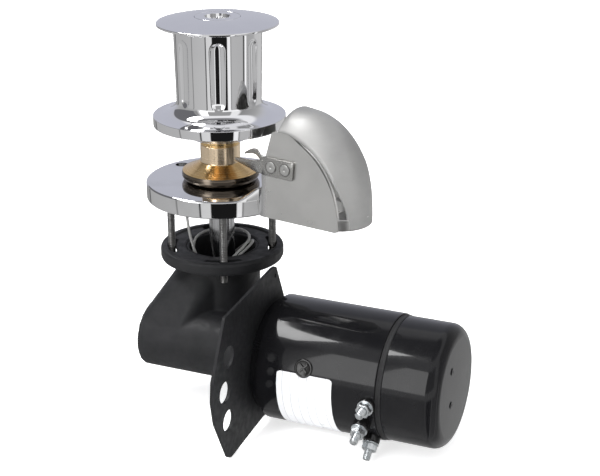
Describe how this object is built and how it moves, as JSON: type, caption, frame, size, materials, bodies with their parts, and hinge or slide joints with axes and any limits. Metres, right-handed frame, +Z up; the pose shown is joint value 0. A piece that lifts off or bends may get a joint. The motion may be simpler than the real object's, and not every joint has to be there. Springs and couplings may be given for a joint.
{
  "type": "anchor windlass",
  "caption": "Vertical electric anchor windlass: fluted capstan drum and chain hood on a deck base, worm gearbox and DC motor below deck.",
  "frame": {"origin": "main shaft axis at the deck plane, the underside of the deck base", "axes": "+Z up along the main shaft, +X from the shaft towards the chain hood"},
  "size_m": [0.354, 0.2347, 0.396],
  "materials": {
    "polished_stainless": "mirror polish",
    "brushed_stainless": "satin",
    "stud_steel": "threaded",
    "shaft_steel": "ground",
    "bronze": "turned",
    "black_casting": "satin black coating",
    "black_paint": "gloss",
    "black_plastic": "moulded",
    "seal_rubber": "matt",
    "zinc": "zinc plated",
    "label_white": "film",
    "cable_grey": "sheath",
    "nylon": "moulded",
    "iron_core": "laminated",
    "copper": "enamelled",
    "carbon": "pressed"
  },
  "bodies": {
    "frame": {"base_casting": "brushed_stainless", "chain_hood": "brushed_stainless", "base_bush": "nylon", "base_seal": "seal_rubber", "deck_studs": "stud_steel", "chain_stripper": "brushed_stainless", "stripper_screws": "brushed_stainless", "clamp_ring": "black_casting", "gearbox_housing": "black_casting", "wheel_cover": "black_casting", "cover_screws": "stud_steel", "shaft_bearing_upper": "shaft_steel", "shaft_bearing_lower": "shaft_steel", "shaft_seal": "seal_rubber", "worm_bearing_outer": "shaft_steel", "worm_bearing_inner": "shaft_steel", "worm_seal": "seal_rubber", "tunnel_cap": "black_casting", "mounting_plate": "black_casting", "plate_screws": "black_paint", "motor_front_bell": "black_paint", "motor_yoke": "black_paint", "seal_band": "seal_rubber", "motor_end_cap": "black_paint", "end_cap_screws": "black_paint", "pole_shoes": "iron_core", "field_coils": "copper", "brush_holder": "nylon", "brushes": "carbon", "brush_springs": "shaft_steel", "motor_bearing_front": "shaft_steel", "motor_bearing_rear": "shaft_steel", "inspection_plug": "black_plastic", "rating_label": "label_white", "terminal_studs": "zinc", "terminal_insulators": "black_plastic", "terminal_washers": "zinc", "terminal_nuts": "zinc", "sensor_body": "black_plastic", "sensor_cable": "cable_grey", "sensor_plug": "nylon"},
    "main_shaft": {"main_shaft": "shaft_steel", "cone_key": "shaft_steel", "drum_key": "shaft_steel", "wheel_key": "shaft_steel", "lower_clutch_cone": "bronze", "capstan_drum": "polished_stainless", "upper_clutch_cone": "polished_stainless", "worm_wheel": "bronze", "wheel_circlip": "shaft_steel"},
    "armature": {"worm_shaft": "shaft_steel", "shaft_coupling": "shaft_steel", "armature_shaft": "shaft_steel", "armature_core": "iron_core", "armature_windings": "copper", "commutator": "copper"},
    "clutch_washer": {"clutch_washer": "bronze"},
    "clutch_nut": {"clutch_nut": "polished_stainless"}
  },
  "joints": [
    {"name": "shaft_spin", "type": "hinge", "parent": "frame", "child": "main_shaft", "pos_m": [0, 0, 0], "axis": [0, 0, 1], "continuous": true},
    {"name": "motor_spin", "type": "hinge", "parent": "frame", "child": "armature", "pos_m": [0.00729, -0.03933, -0.1463], "axis": [0.9833, 0.1822, 0], "continuous": true},
    {"name": "nut_lift", "type": "slide", "parent": "main_shaft", "child": "clutch_washer", "axis": [0, 0, 1], "range_m": [0, 0.005]},
    {"name": "nut_turn", "type": "hinge", "parent": "clutch_washer", "child": "clutch_nut", "pos_m": [0, 0, 0.175], "axis": [0, 0, 1], "range_deg": [0, 720]}
  ],
  "couplings": [
    {"joint": "shaft_spin", "follows": "motor_spin", "ratio": -0.027778},
    {"joint": "nut_lift", "follows": "nut_turn", "m_per_rad": 0.00039789}
  ]
}
